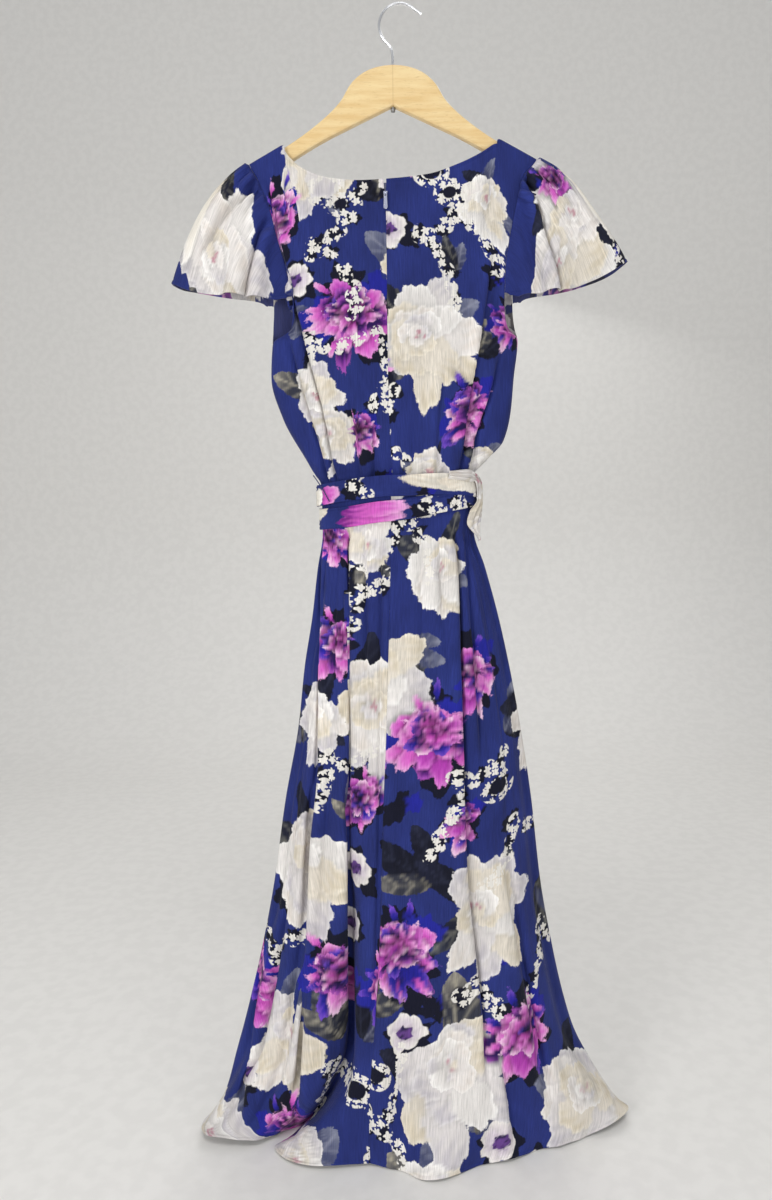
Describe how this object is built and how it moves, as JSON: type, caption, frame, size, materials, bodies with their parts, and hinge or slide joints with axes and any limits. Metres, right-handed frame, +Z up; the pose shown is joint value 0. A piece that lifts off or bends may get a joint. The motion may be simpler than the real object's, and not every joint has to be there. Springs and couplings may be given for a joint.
{
  "type": "flutter sleeve dress on a wooden hanger",
  "caption": "Long floral chiffon dress with flutter sleeves, a centre back zip and a wrapped tie sash, hanging by its shoulders on a wooden hanger, its hem spilling on the floor.",
  "frame": {"origin": "inside of the top of the hanger's hook, where it rests on a rail", "axes": "+Z up; the garment's back faces -Y and its front faces +Y; +X is to the right for somebody who looks at the back"},
  "size_m": [0.6186, 0.202, 1.5328],
  "materials": {
    "printed_chiffon": "crinkled matt chiffon, navy with large floral print",
    "sash_chiffon": "crinkled matt chiffon, navy with floral print",
    "zip_tape": "matt woven tape",
    "zip_enamel": "satin enamel",
    "wood": "satin lacquer on pale wood",
    "hook_steel": "bright plated wire",
    "nut_steel": "dull grey metal"
  },
  "bodies": {
    "dress": {"bodice_back_left": "printed_chiffon", "bodice_back_right": "printed_chiffon", "bodice_front": "printed_chiffon", "skirt_back_left": "printed_chiffon", "skirt_back_right": "printed_chiffon", "skirt_front": "printed_chiffon", "sleeve_left": "printed_chiffon", "sleeve_right": "printed_chiffon", "belt_upper_wrap": "sash_chiffon", "belt_lower_wrap": "sash_chiffon", "belt_turn": "sash_chiffon", "belt_knot": "sash_chiffon", "belt_tail_left": "sash_chiffon", "belt_tail_right": "sash_chiffon", "belt_carrier": "sash_chiffon", "zip_tape": "zip_tape", "zip_slider": "zip_enamel", "hanger_body": "wood", "hanger_hook": "hook_steel", "hanger_nut": "nut_steel"},
    "pull_tab": {"zip_pull_tab": "zip_enamel"}
  },
  "joints": [
    {"name": "pull_tab_swing", "type": "hinge", "parent": "dress", "child": "pull_tab", "pos_m": [-0.02176, -0.02299, -0.243], "axis": [-1, 0, 0], "range_deg": [0, 160]}
  ]
}
